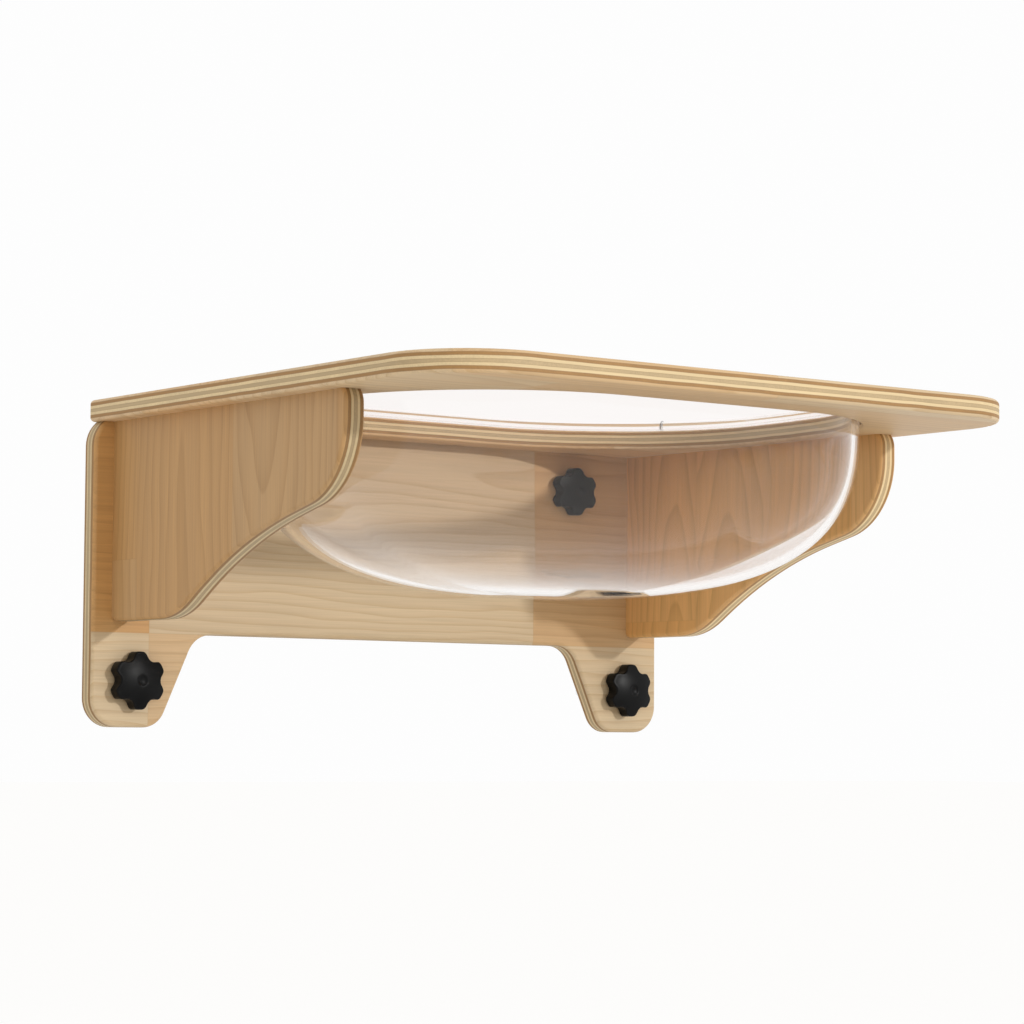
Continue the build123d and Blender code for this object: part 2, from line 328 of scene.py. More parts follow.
def arched_rings(tree, given, through, in_row, in_column, chance):
    """Latewood from 0 to 1: the distance from the pith in ring widths, rising within each ring."""
    across = calc(tree, "MULTIPLY", in_row, given["Stave Width"])
    along = calc(tree, "MULTIPLY", in_column, given["Stave Length"])
    place = stretch(tree, chance, stave_jump, stretch(tree, given["Place"], wave_scale))
    across = calc(tree, "MULTIPLY_ADD", noise(tree, place), wave_reach, across)

    chances = add(tree, "ShaderNodeSeparateColor", {0: chance}).outputs
    side = calc(tree, "ADD", across, rescale(tree, chances[0], 0.0, 1.0, *pith_aside))
    lean = rescale(tree, chances[1], 0.0, 1.0, *pith_lean)
    depth = calc(tree, "ADD", calc(tree, "MULTIPLY_ADD", along, lean, pith_depth), through)
    squares = [calc(tree, "MULTIPLY", part, part) for part in (side, depth)]
    distance = calc(tree, "SQRT", calc(tree, "ADD", *squares))
    turns = calc(tree, "DIVIDE", distance, given["Ring Spacing"])

    uneven = noise(tree, place, uneven_scale, detail=1.0)
    rise = calc(tree, "FRACT", calc(tree, "MULTIPLY_ADD", uneven, uneven_rings, turns))
    fall = rescale(tree, rise, ring_end, 1.0, 1.0, 0.0, "SMOOTHSTEP")
    return calc(tree, "MULTIPLY", calc(tree, "POWER", rise, ring_sharpness), fall)


print("piths lie", pith_depth, "m below the face")

# %% [markdown]
# ## Fibre and joints
#
# Between the rings runs the fibre, which is a noise stretched along the grain. A hair line round
# every stave shows where it is glued to the next one.

# %% Fibre, joints and the node group for the figure
fine_fibre, broad_fibre = (14.0, 900.0, 900.0), (2.0, 50.0, 50.0)
joint_dark, joint_clear = 0.0001, 0.0005


def fibre_streaks(tree, place):
    """Mean of long thin streaks and of broader and longer ones."""
    streaks = []
    for factors in (fine_fibre, broad_fibre):
        streaks.append(noise(tree, stretch(tree, place, factors), detail=3.0))
    return calc(tree, "MULTIPLY", calc(tree, "ADD", *streaks), 0.5)


def joint_line(tree, given, in_row, in_column):
    """1 on a hair line round the stave, from its distance to the nearest edge, and 0 inside."""
    gaps = []
    for inside, size in ((in_row, "Stave Width"), (in_column, "Stave Length")):
        from_edge = calc(tree, "SUBTRACT", 0.5, calc(tree, "ABSOLUTE", inside))
        gaps.append(calc(tree, "MULTIPLY", from_edge, given[size]))
    return rescale(tree, calc(tree, "MINIMUM", *gaps), joint_dark, joint_clear, 1.0, 0.0)


def make_wood_figure():
    """Staves with arched rings, fibre and joints. Every output runs from 0 to 1."""
    outputs = [(name, "Float") for name in ("Tone", "Rings", "Fibre", "Joint")]
    tree, given, result = new_group("wood_figure", stave_inputs, outputs)
    along, across, through = add(tree, "ShaderNodeSeparateXYZ", {0: given["Place"]}).outputs
    row, column, in_row, in_column = find_stave(tree, given, along, across)
    stave = add(tree, "ShaderNodeCombineXYZ", {0: row, 1: column, 2: given["Seed"]}).outputs[0]
    chance = add(tree, "ShaderNodeTexWhiteNoise", {"Vector": stave}).outputs["Color"]
    give(tree, result, {
        "Tone": stave_tone(tree, given, row, column),
        "Rings": arched_rings(tree, given, through, in_row, in_column, chance),
        "Fibre": fibre_streaks(tree, given["Place"]),
        "Joint": joint_line(tree, given, in_row, in_column),
    })
    return tree


wood_figure = make_wood_figure()
print("group", wood_figure.name, "has", len(wood_figure.nodes), "nodes")

# %% [markdown]
# ## Plies
#
# Seven plies make the 15 mm sheet: a face veneer, a brown cross band, a cream ply, a grey-tan
# core, and the same again in reverse. Nobody paints those stripes: they show wherever the sheet
# is cut or rounded over. So the colour is worked out from the depth in the sheet, and the rounded
# edges cut through the plies by themselves. The depth is folded about the middle of the sheet,
# because the layers mirror each other: it is 0 in the core and 1 at a face.

# %% Layers from the depth in the sheet
shelf_low, shelf_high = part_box("shelf")
sheet = shelf_high.z - shelf_low.z
core_end, band_start, veneer_start = 0.15, 0.435, 0.715
ply_blur, ply_wander, wander_scale = 0.015, 0.02, 30.0
glue_dark, glue_clear = 0.01, 0.035


def past(tree, depth, edge, before=0.0, after=1.0):
    """Soft step from one value to another where the folded depth passes an edge."""
    return rescale(tree, depth, edge - ply_blur, edge + ply_blur, before, after)


def ply_layers(tree, place, through):
    """(veneer, brown band, core, glue), each 1 in its layer and 0 elsewhere."""
    folded = calc(tree, "ABSOLUTE", calc(tree, "MULTIPLY_ADD", through, 2 / sheet, -1.0))
    wander = noise(tree, place, wander_scale, detail=1.0)
    folded = calc(tree, "ADD", folded, rescale(tree, wander, 0.3, 0.7, -ply_wander, ply_wander))
    veneer = past(tree, folded, veneer_start)
    under_veneer = past(tree, folded, veneer_start, before=1.0, after=0.0)
    band = calc(tree, "MULTIPLY", past(tree, folded, band_start), under_veneer)
    core = past(tree, folded, core_end, before=1.0, after=0.0)

    # Glue is a hair line at the nearest of the three depths where two plies meet
    edges = (core_end, band_start, veneer_start)
    gaps = [calc(tree, "ABSOLUTE", calc(tree, "SUBTRACT", folded, edge)) for edge in edges]
    nearest = calc(tree, "MINIMUM", calc(tree, "MINIMUM", gaps[0], gaps[1]), gaps[2])
    glue = rescale(tree, nearest, glue_dark, glue_clear, 1.0, 0.0)
    return veneer, band, core, glue


print("the sheet is", round(sheet * 1000, 2), "mm thick")

# %% [markdown]
# ## Plywood
#
# The face takes the tone of its stave, from pale to warm, with the rings and the joints drawn
# over it in the brown of latewood. The warm end of that range is also painted warm shade where a
# plate puts it beside the brackets. In every second ply the grain runs crosswise, so the figure
# gets its place with the first two numbers changed over. A clear satin lacquer lies over it all,
# smoother on the veneer than on the cut plies.

# %% Node group for plywood
# The warm veneer colour is a stave tone, and on the board's end staves and the right bracket also
# painted warm shade.
veneer_pale, warm_veneer_and_shade = (0.60, 0.455, 0.275, 1.0), (0.57, 0.31, 0.105, 1.0)
latewood = (0.38, 0.20, 0.06, 1.0)
cream_ply, brown_ply = (0.65, 0.505, 0.285, 1.0), (0.32, 0.175, 0.06, 1.0)
core_ply = (0.45, 0.335, 0.185, 1.0)
glue_line = (0.20, 0.10, 0.04, 1.0)
joint_strength, glue_strength = 0.20, 0.45
streak_dark, streak_light = 0.88, 1.08
ply_roughness, veneer_roughness, fibre_roughness = 0.54, 0.46, 0.12
ring_sink, cross_sink = -0.4, -0.8
plywood_inputs = stave_inputs + [
    ("Warmth", "Float", 0.5),
    ("Contrast", "Float", 0.35),
    ("Ring Strength", "Float", 0.4),
    ("Brightness", "Float", 1.0),
]


def veneer_colour(tree, given, figure):
    """Tone of the stave, with its rings and joints in the colour of latewood."""
    offset = rescale(tree, figure["Tone"], 0.0, 1.0, -1.0, 1.0)
    tone = calc(tree, "MULTIPLY_ADD", offset, given["Contrast"], given["Warmth"], clamp=True)
    face = blend(tree, tone, veneer_pale, warm_veneer_and_shade)
    rings = calc(tree, "MULTIPLY", figure["Rings"], given["Ring Strength"])
    face = blend(tree, rings, face, latewood)
    return blend(tree, calc(tree, "MULTIPLY", figure["Joint"], joint_strength), face, latewood)


def make_plywood():
    """Colour, roughness and height of lacquered plywood at one place in the sheet."""
    outputs = [("Colour", "Color"), ("Roughness", "Float"), ("Height", "Float")]
    tree, given, result = new_group("plywood", plywood_inputs, outputs)
    along, across, through = add(tree, "ShaderNodeSeparateXYZ", {0: given["Place"]}).outputs
    veneer, band, core, glue = ply_layers(tree, given["Place"], through)

    cross = calc(tree, "MAXIMUM", band, core)
    swapped = add(tree, "ShaderNodeCombineXYZ", {0: across, 1: along, 2: through}).outputs[0]
    either = {0: calc(tree, "ROUND", cross), 4: given["Place"], 5: swapped}
    values = {label: given[label] for label, kind, value in stave_inputs}
    values["Place"] = add(tree, "ShaderNodeMix", either, data_type="VECTOR").outputs[1]
    figure = add(tree, "ShaderNodeGroup", values, node_tree=wood_figure).outputs

    inner = blend(tree, core, blend(tree, band, cream_ply, brown_ply), core_ply)
    colour = blend(tree, veneer, inner, veneer_colour(tree, given, figure))
    colour = blend(tree, calc(tree, "MULTIPLY", glue, glue_strength), colour, glue_line)
    streak = rescale(tree, figure["Fibre"], 0.35, 0.65, streak_dark, streak_light)
    streak = calc(tree, "MULTIPLY", streak, given["Brightness"])
    grey = add(tree, "ShaderNodeCombineColor", {0: streak, 1: streak, 2: streak}).outputs[0]
    colour = blend(tree, 1.0, colour, grey, "MULTIPLY")

    rough = rescale(tree, veneer, 0.0, 1.0, ply_roughness, veneer_roughness)
    rough = calc(tree, "MULTIPLY_ADD", figure["Fibre"], fibre_roughness, rough)
    height = calc(tree, "MULTIPLY_ADD", figure["Rings"], ring_sink, figure["Fibre"])
    height = calc(tree, "MULTIPLY_ADD", cross, cross_sink, height)
    give(tree, result, {"Colour": colour, "Roughness": rough, "Height": height})
    return tree


plywood = make_plywood()
print("group", plywood.name, "has", len(plywood.nodes), "nodes")

# %% [markdown]
# ## The four plywood plates
#
# The plates keep their CAD mesh, because its outlines and round-overs are already those of the
# real ones. Each needs only its own way to read the figure: the board has its grain level, the
# brackets upright, and the shelf along its width. Each material turns the place on the plate into
# (along the grain, across it, through the sheet), counted from a point near its lowest corner,
# and chooses its staves: their size, how warm they are, and how much they differ. Warmth and
# brightness also carry painted light: the warm, dark end staves of the board are painted warm
# shade beside the brackets, the right bracket is warmer and brighter than the left as painted
# bounce light on its shaded inner face, and the shelf is brightened as painted light from below.

# %% Plywood on the board, the brackets and the shelf
x_axis, y_axis, z_axis = 0, 1, 2
plates = {
    # Partly stave tone, partly painted shade: the end staves come out warm and dark where the
    # brackets shade the board.
    "back_board": ((x_axis, z_axis, y_axis), (0.045, 0, 0.065), {
        "Stave Length": 0.335, "Stave Width": 0.30, "Stagger": 0.0, "Seed": 0.15,
        "Warmth": 0.08, "Contrast": 2.5, "Ring Strength": 0.38,
    }),
    "left_bracket": ((z_axis, y_axis, x_axis), (0, 0.01, -0.04), {
        "Stave Length": 0.34, "Stave Width": 0.12, "Seed": 4.3,
        "Warmth": 0.78, "Contrast": 0.15, "Ring Strength": 0.5, "Brightness": 0.90,
    }),
    # Painted light: warmth 1.0 and brightness 1.3 stand in for warm light bounced onto the shaded
    # inner face.
    "right_bracket": ((z_axis, y_axis, x_axis), (0, 0.03, -0.07), {
        "Stave Length": 0.34, "Stave Width": 0.085, "Seed": 0.6,
        "Warmth": 1.0, "Contrast": 0.15, "Ring Strength": 0.6, "Brightness": 1.3,
    }),
    # Painted light: brightness 1.19 stands in for the light from below on the underside.
    "shelf": ((x_axis, y_axis, z_axis), (0.1, 0.02, 0), {
        "Stave Length": 0.42, "Stave Width": 0.11, "Seed": 0.7,
        "Warmth": 0.22, "Contrast": 0.3, "Ring Strength": 0.38, "Brightness": 1.19,
    }),
}


def refinish(node, material):
    """Give a CAD node another material and leave its mesh as it is."""
    nodes[node].data.materials.clear()
    nodes[node].data.materials.append(material)


def plywood_material(name, order, origin, veneer):
    """Plywood whose grain, width and depth lie along the axes in `order`, from `origin`."""
    material, tree, shader = new_material(name)
    centred = {0: object_place(tree), 1: origin}
    centred = add(tree, "ShaderNodeVectorMath", centred, operation="SUBTRACT").outputs[0]
    axes = add(tree, "ShaderNodeSeparateXYZ", {0: centred}).outputs
    turned = {number: axes[axis] for number, axis in enumerate(order)}
    place = add(tree, "ShaderNodeCombineXYZ", turned).outputs[0]
    wood = add(tree, "ShaderNodeGroup", {"Place": place, **veneer}, node_tree=plywood).outputs
    give(tree, shader, {
        "Base Color": wood["Colour"],
        "Roughness": wood["Roughness"],
        "Normal": bump(tree, wood["Height"], strength=0.25, distance=0.0002),
        "IOR": 1.5,
    })
    return material


for name, (order, shift, veneer) in plates.items():
    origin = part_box(name)[0] + Vector(shift)
    refinish(name, plywood_material(name + "_plywood", order, origin, veneer))
    print(name, "plywood, grain along axis", order[0])

# %% [markdown]
# ## Surfaces from tables of rings
#
# All round pieces here come from one idea: a table of rings. Each ring is the same number of
# points round an axis, each ring joins the next, and a single point closes the first or the last
# one like the pole of a globe. Working on whole tables of numbers is quicker than placing points
# one by one, and the formula of the shape stays readable.

# %% Rings, and faces between them
def lathe(profile, around=96):
    """Rings of a profile of (radius, height) turned round the local z axis."""
    radius, height = np.asarray(profile, float).T
    turn = np.linspace(0, 2 * pi, around, endpoint=False)
    x, y = np.outer(radius, np.cos(turn)), np.outer(radius, np.sin(turn))
    return np.stack([x, y, np.repeat(height[:, None], around, 1)], -1)


def arc(centre, radius, start, end, count):
    """Points (radius, height) of an arc between two angles in degrees."""
    turn = np.radians(np.linspace(start, end, count))
    return np.stack([centre[0] + radius * np.cos(turn), centre[1] + radius * np.sin(turn)], -1)


def skin(rings, start=None, end=None, ring_loop=False):
    """Points and faces over a table of (ring, point, xyz), with a pole where it is given."""
    count, around = rings.shape[:2]
    index = np.arange(count * around).reshape(count, around)
    if ring_loop:
        index = np.vstack([index, index[:1]])
    here, there = index[:-1], index[1:]
    quads = np.stack([here, np.roll(here, -1, 1), np.roll(there, -1, 1), there], -1)
    faces = quads.reshape(-1, 4).tolist()
    points = rings.reshape(-1, 3)
    for pole, ring, forward in ((start, index[0], False), (end, index[-1], True)):
        if pole is None:
            continue
        tip = np.full(around, len(points))
        points = np.vstack([points, pole])
        pair = (ring, np.roll(ring, -1)) if forward else (np.roll(ring, -1), ring)
        faces += np.stack([pair[0], pair[1], tip], -1).tolist()
    return points, faces


print("ring helpers ready")

# %% [markdown]
# ## From shells to a piece
#
# A closed shell has to face outwards. Its volume, summed over the tetrahedra from the origin to
# each triangle, is positive if it does, so the sign tells when the faces have to be turned round.
# Local points are drawn with the axis of the piece along z, and one function lays them so that
# this axis points out of the glass into the room.

# %% Shells, pieces and their place in the room
def signed_volume(points, faces):
    """Volume inside closed faces, negative if they point inwards."""
    fan = np.array([(f[0], f[i], f[i + 1]) for f in faces for i in range(1, len(f) - 1)])
    a, b, c = points[fan[:, 0]], points[fan[:, 1]], points[fan[:, 2]]
    return float(np.einsum("ij,ij->i", a, np.cross(b, c)).sum() / 6)


def make_piece(name, shells, material, body, stands_for, sharp=40):
    """Join closed shells, given as (points, faces), into one piece that rides on a body."""
    points, faces = [], []
    for shell_points, shell_faces in shells:
        shift = sum(len(p) for p in points)
        turn = slice(None, None, 1 if signed_volume(shell_points, shell_faces) > 0 else -1)
        faces += [tuple(i + shift for i in face[turn]) for face in shell_faces]
        points.append(shell_points)
    mesh = bpy.data.meshes.new(name)
    mesh.from_pydata(np.vstack(points).tolist(), [], faces)
    mesh.polygons.foreach_set("use_smooth", np.ones(len(faces), bool))
    mesh.set_sharp_from_angle(angle=radians(sharp))
    mesh.materials.append(material)
    piece = bpy.data.objects.new(name, mesh)
    bpy.context.scene.collection.objects.link(piece)
    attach(piece, body)
    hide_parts(*stands_for)
    print(name, "has", len(faces), "faces")
    return piece


def on_axis(height):
    """Point on the local axis, at a height."""
    return np.array([0.0, 0.0, height])


def into_room(points, x, y, z):
    """Local x, y and z laid along +X, +Z and out of the glass into the room, from (x, y, z)."""
    return np.stack([x + points[..., 0], y - points[..., 2], z + points[..., 1]], -1)


print("piece helpers ready")

# %% [markdown]
# ## Clear bowl
#
# The bowl is one sheet of clear acrylic, softened by heat, clamped round the edge and pulled down
# into the hole. So it has one wall all over: a flange on the shelf, a soft bend, and a dome that
# starts upright in the hole. Every level is the same rounded rectangle, and only its size
# changes: at angle t the plan shrinks as cos(t)^(2/n) while the depth grows as sin(t)^(2/n). With n
# above 2 the dome is fuller than half an egg.

# %% Plan and dome of the bowl
overlap, clearance, hole_corner = 0.0135, 0.0015, 0.134
dome_power, dome_drop = 2.69, 0.1205
bowl_low, bowl_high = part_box("bowl")
hole_width = bowl_high.x - bowl_low.x - 2 * overlap
hole_depth = bowl_high.y - bowl_low.y - 2 * overlap
hole_y = (bowl_low.y + bowl_high.y) / 2
under_shelf, shelf_top = shelf_low.z, shelf_high.z
wall = bowl_high.z - shelf_top


def dome_levels(drop, inset, count=72):
    """(inset, plan scale, height) down one face of the dome, close together at both ends."""
    angle = pi / 4 * (1 - np.cos(np.linspace(0, pi, count + 1)))[:-1]
    scale, depth = np.cos(angle) ** (2 / dome_power), drop * np.sin(angle) ** (2 / dome_power)
    return np.stack([np.full(count, inset), scale, under_shelf - depth], -1)


def plan_ring(inset, scale, height, side_points=14, corner_points=30):
    """Rounded rectangle `inset` inside the hole, scaled about its middle."""
    corner = hole_corner - inset
    turn = np.linspace(0, pi / 2, corner_points)
    quarter = np.concatenate([turn + start for start in (0, pi / 2, pi, 3 * pi / 2)])
    sign_x = np.repeat([1, -1, -1, 1], corner_points)
    sign_y = np.repeat([1, 1, -1, -1], corner_points)
    x = sign_x * (hole_width / 2 - hole_corner) + corner * np.cos(quarter)
    y = sign_y * (hole_depth / 2 - hole_corner) + corner * np.sin(quarter)
    ring = np.stack([x, y], -1)
    step = np.linspace(0, 1, side_points + 2)[1:-1, None]
    pieces = []
    for first in range(0, len(ring), corner_points):
        last = first + corner_points - 1
        pieces.append(ring[first : last + 1])
        pieces.append(ring[last] + step * (ring[(last + 1) % len(ring)] - ring[last]))
    flat = np.vstack(pieces) * scale
    return np.column_stack([flat[:, 0], flat[:, 1] + hole_y, np.full(len(flat), height)])


print("hole of", round(hole_width, 4), "by", round(hole_depth, 4), "m")

# %% [markdown]
# ## Wall of the bowl
#
# The wall needs both its faces, because clear plastic looks right only where light enters and
# leaves it. One closed profile runs up the inside, over the flange and down the outside. A film of
# air stays under the flange, as between any two sheets, or the wood below would look soaked.

# %% Closed profile of the bowl
air = 0.0002
bend_in, bend_out, rim = 0.005, 0.0032, 0.0015
flange_top, flange_foot = shelf_top + wall, shelf_top + air
inner, outer = clearance + wall, clearance

up_inside = dome_levels(dome_drop - wall, inner)[::-1]
inside_bend = arc((inner - bend_in, flange_top - bend_in), bend_in, 0, 90, 10)
rim_turn = arc((-overlap + rim, flange_top - rim), rim, 90, 180, 6)
outside_bend = arc((outer - bend_out, flange_foot - bend_out), bend_out, 90, 0, 8)
down_outside = dome_levels(dome_drop, outer)
edge = np.vstack([inside_bend, rim_turn, [(-overlap, flange_foot)], outside_bend])
edge = np.insert(edge, 1, 1.0, axis=1)
levels = np.vstack([up_inside, edge, down_outside])
bowl_rings = np.stack([plan_ring(*level) for level in levels])
inside_pole = (0.0, hole_y, under_shelf - (dome_drop - wall))
outside_pole = (0.0, hole_y, under_shelf - dome_drop)
bowl_shell = skin(bowl_rings, inside_pole, outside_pole)
print("bowl:", len(levels), "rings and", round(signed_volume(*bowl_shell) * 1e6, 1), "cm3")

# %% [markdown]
# ## Clear acrylic
#
# Clear plastic has no colour of its own to speak of. What shows is what lies behind it, and near
# the outline, where the eye meets the wall at a flat angle, the white of the room mirrored in it.
# Both come from a transmitting shader. Its index of refraction is lower than that of solid acrylic,
# because a thin wall bends and mirrors less than a block. A trace of rose in the colour stands for
# the light that the sheet swallows, because each ray crosses it four times.
#
# Some rays are mirrored to and fro inside the wall until the renderer gives up and calls them
# black. In a white room they would come out pale, so after three mirrorings they find a faint
# painted glow that stands in for that pale light.
#
# The bowl takes no light from the key lamp and casts no shadow. A renderer that bends light would
# put hard bright lines and a dark shadow on the board, where the real thin wall leaves neither.

# %% Material of the bowl, and the bowl
acrylic_colour, acrylic_painted_glow = (0.985, 0.955, 0.94, 1.0), (0.12, 0.116, 0.112, 1.0)
no_glow, few_mirrorings = (0.0, 0.0, 0.0, 1.0), 2.5


def clear_plastic(name, colour, roughness, bending, glow):
    """Transmitting material that lights only rays mirrored to and fro inside it."""
    material, tree, shader = new_material(name)
    # Painted light: a glow on rays mirrored more than twice inside the wall.
    mirrored = add(tree, "ShaderNodeLightPath").outputs["Glossy Depth"]
    trapped = calc(tree, "GREATER_THAN", mirrored, few_mirrorings)
    give(tree, shader, {
        "Base Color": colour,
        "Roughness": roughness,
        "IOR": bending,
        "Transmission Weight": 1.0,
        "Emission Color": blend(tree, trapped, no_glow, glow),
        "Emission Strength": 1.0,
    })
    return material, tree, shader


acrylic, tree, shader = clear_plastic("bowl_acrylic", acrylic_colour, 0.0, 1.25, acrylic_painted_glow)
bowl = make_piece("clear_bowl", [bowl_shell], acrylic, "bowl", ["bowl"])
bowl.visible_shadow = False
beside_key = bpy.data.collections.new("beside_the_key")
beside_key.objects.link(bowl)
key.light_linking.receiver_collection = beside_key
beside_key.collection_objects[0].light_linking.link_state = "EXCLUDE"

# %% [markdown]
# ## Star knobs
#
# A star knob is a disc with six scallops, so that fingers find a hold. Seen from the front its
# radius is a function of the angle: the rim, or the near side of a scallop where that is closer.
# Averaging the radius over a few degrees rounds the corners, as a mould does. The front is a low
# crown with a dimple in its middle, and the edge between crown and side is rounded.

# %% Knob surface
lobes, knob_tip, knob_valley, scallop = 6, 0.020, 0.0155, 0.0065
knob_height, knob_rise, knob_edge, back_edge = 0.0125, 0.0035, 0.0013, 0.0006
dimple, dimple_depth, dimple_point = 0.004, 0.0010, 0.00001
pocket_radius, pocket_depth, pocket_edge = 0.0048, 0.0096, 0.0002


def star_radius(turn, reach=9):
    """Distance of the outline from the axis: the rim, cut by circles, with averaged corners."""
    offset = (turn + pi / lobes) % (2 * pi / lobes) - pi / lobes
    centre = knob_valley + scallop
    inside = scallop**2 - (centre * np.sin(offset)) ** 2
    near = centre * np.cos(offset) - np.sqrt(np.maximum(inside, 0))
    radius = np.where(inside > 0, np.minimum(near, knob_tip), knob_tip)
    window = np.hanning(2 * reach + 1)
    padded = np.concatenate([radius[-reach:], radius, radius[:reach]])
    return np.convolve(padded, window / window.sum(), "valid")


def crown_height(radius):
    """Height of the crown: a parabola, lower towards the tips."""
    return knob_height - knob_rise * (radius / knob_tip) ** 2


def knob_rings(around=360):
    """Rings from the roof of the pocket, out over the back, up the side and in over the crown."""
    turn = np.linspace(0, 2 * pi, around, endpoint=False)
    star = star_radius(turn)
    top = crown_height(star - knob_edge)
    rows = [(0.5 * pocket_radius, pocket_depth), (pocket_radius, pocket_depth)]
    rows += [(pocket_radius, pocket_edge), (pocket_radius + pocket_edge, 0)]
    rows += [(star - back_edge, 0), (star - back_edge / 4, back_edge / 3), (star, back_edge)]
    rows += [(star, share * (top - knob_edge)) for share in (0.35, 0.7, 1.0)]
    for angle in np.radians(np.arange(15, 91, 15)):
        rows.append((star - knob_edge * (1 - np.cos(angle)), top - knob_edge * (1 - np.sin(angle))))
    for share in np.linspace(1, 0, 14)[1:]:
        radius = dimple + share * (star - knob_edge - dimple)
        rows.append((radius, crown_height(radius)))
    for share in (0.92, 0.8, 0.6, 0.4, 0.2, 0.08):
        rows.append((share * dimple, crown_height(dimple) - dimple_depth * (1 - share**2)))
    filled = [[np.broadcast_to(value, around) for value in row] for row in rows]
    radius, height = np.array(filled).swapaxes(0, 1)
    return np.stack([radius * np.cos(turn), radius * np.sin(turn), height], -1)


knob_table = knob_rings()
print("knob:", knob_table.shape[0], "rings of", knob_table.shape[1], "points")

# %% [markdown]
# ## Black moulded plastic
#
# Moulded nylon is not flat black. It is very dark, has a fine grain from the mould that spreads
# each highlight, and is a little smoother where fingers rub it. Two scales of noise do that: a
# fine one for the grain in the bump, and a slow one for the change in roughness.

# %% Material and knobs
slow_scale, grain_scale = 60.0, 2500.0
deep_black, soft_black = (0.001, 0.001, 0.001, 1.0), (0.003, 0.003, 0.003, 1.0)

nylon, tree, shader = new_material("moulded_nylon")
slow = noise(tree, object_place(tree), slow_scale)
grain = noise(tree, object_place(tree), grain_scale)
give(tree, shader, {
    "Base Color": blend(tree, rescale(tree, slow, 0.35, 0.65), deep_black, soft_black),
    "Roughness": rescale(tree, slow, 0.3, 0.7, 0.30, 0.38),
    "Specular IOR Level": 0.11,
    "Normal": bump(tree, grain, strength=0.3, distance=0.0001),
})

cup_places = {}
for corner in ("upper_left", "upper_right", "lower_left", "lower_right"):
    low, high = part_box("washer_" + corner)
    x, z = (low.x + high.x) / 2, (low.z + high.z) / 2
    cup_places[corner] = (x, z)
    drawn = (knob_table, on_axis(pocket_depth), on_axis(knob_table[-1, 0, 2] - dimple_point))
    shell = skin(*(into_room(points, x, low.y, z) for points in drawn))
    knob = "knob_" + corner
    make_piece("star_" + knob, [shell], nylon, knob, [knob])

# %% [markdown]
# ## Suction cups
#
# A cup is turned: a thin lip that lies on the glass, a soft flare up to a neck, and a hollow
# underneath. A short tab on one side is the lip pulled outwards over a few degrees, which keeps
# the cup one closed skin.

# %% Cup surface
cup_radius, cup_land, cup_lip, cup_hollow = 0.022, 0.002, 0.001, 0.004
lip_edge, lip_shoulder, flare_bow = 0.0003, 0.0004, 0.0026
neck_radius, neck_foot, neck_middle, neck_edge = 0.008, 0.007, 0.0085, 0.0008
board_low, board_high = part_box("back_board")
standoff, top_hole = -board_high.y, 0.002
tab_half_angle, tab_reach, tab_blur = 0.17, 0.0034, 0.012


def cup_profile():
    """(profile, mask of the lip): the roof of the hollow, the lip, the flare and the neck."""
    share = np.linspace(0.08, 1, 14)
    hollow = np.stack([share * (cup_radius - cup_land), cup_hollow * (1 - share**2)], -1)
    lip = [(cup_radius - lip_edge, 0.0), (cup_radius, lip_edge)]
    lip += [(cup_radius, cup_lip - lip_edge), (cup_radius - lip_shoulder, cup_lip)]
    rise = np.linspace(0.06, 1, 12)
    bow = flare_bow * np.sin(pi * rise)
    flare_radius = cup_radius + rise * (neck_radius - cup_radius) - bow * 0.5
    flare = np.stack([flare_radius, cup_lip + rise * (neck_foot - cup_lip) + bow], -1)
    neck = [(neck_radius, neck_middle), (neck_radius, standoff - neck_edge)]
    neck += [(neck_radius - neck_edge, standoff), (top_hole, standoff)]
    on_lip = [0.0] * len(hollow) + [1.0] * len(lip) + [0.0] * (len(flare) + len(neck))
    return np.vstack([hollow, lip, flare, neck]), np.array(on_lip)


def cup_rings(side, around=144):
    """Rings of the profile, whose lip grows into the tab over a few degrees on one side."""
    profile, on_lip = cup_profile()
    rings = lathe(profile, around)
    turn = np.linspace(0, 2 * pi, around, endpoint=False)
    away = np.abs((turn - (0 if side < 0 else pi) + pi) % (2 * pi) - pi)
    pull = 1 / (1 + np.exp((away - tab_half_angle) / tab_blur))
    grow = 1 + np.outer(on_lip, pull) * tab_reach / cup_radius
    rings[..., :2] *= grow[..., None]
    return rings


print("cup profile has", len(cup_profile()[0]), "points")

# %% [markdown]
# ## Soft vinyl
#
# A cup is soft clear vinyl, so it shares the shader of clear plastic, with a cool tint, a
# slightly wavy surface and the same painted glow on rays trapped in its wall.

# %% Soft vinyl and cups
vinyl_colour, vinyl_painted_glow = (0.92, 0.95, 0.955, 1.0), (0.20, 0.21, 0.215, 1.0)
haze_scale = 180.0

vinyl, tree, shader = clear_plastic("cup_vinyl", vinyl_colour, 0.10, 1.33, vinyl_painted_glow)
haze = noise(tree, object_place(tree), haze_scale)
give(tree, shader, {"Normal": bump(tree, haze, strength=0.2, distance=0.0005)})

for corner, (x, z) in cup_places.items():
    drawn = (cup_rings(1 if x > 0 else -1), on_axis(cup_hollow), on_axis(standoff))
    shell = skin(*(into_room(points, x, 0.0, z) for points in drawn))
    make_piece("suction_cup_" + corner, [shell], vinyl, "frame", ["cup_" + corner])

# %% [markdown]
# ## Metal
#
# Zinc-plated steel and turned brass differ in colour, but both are a little uneven. So one group
# gives a patchy roughness and a tint from noise on the place, and each material sets two colours.

# %% Metal materials
plating_inputs = [
    ("Light", "Color", (1, 1, 1, 1)),
    ("Dull", "Color", (0.5, 0.5, 0.5, 1)),
    ("Scale", "Float", 300.0),
    ("Polish", "Float", 0.3),
]
patch_roughness = 0.1


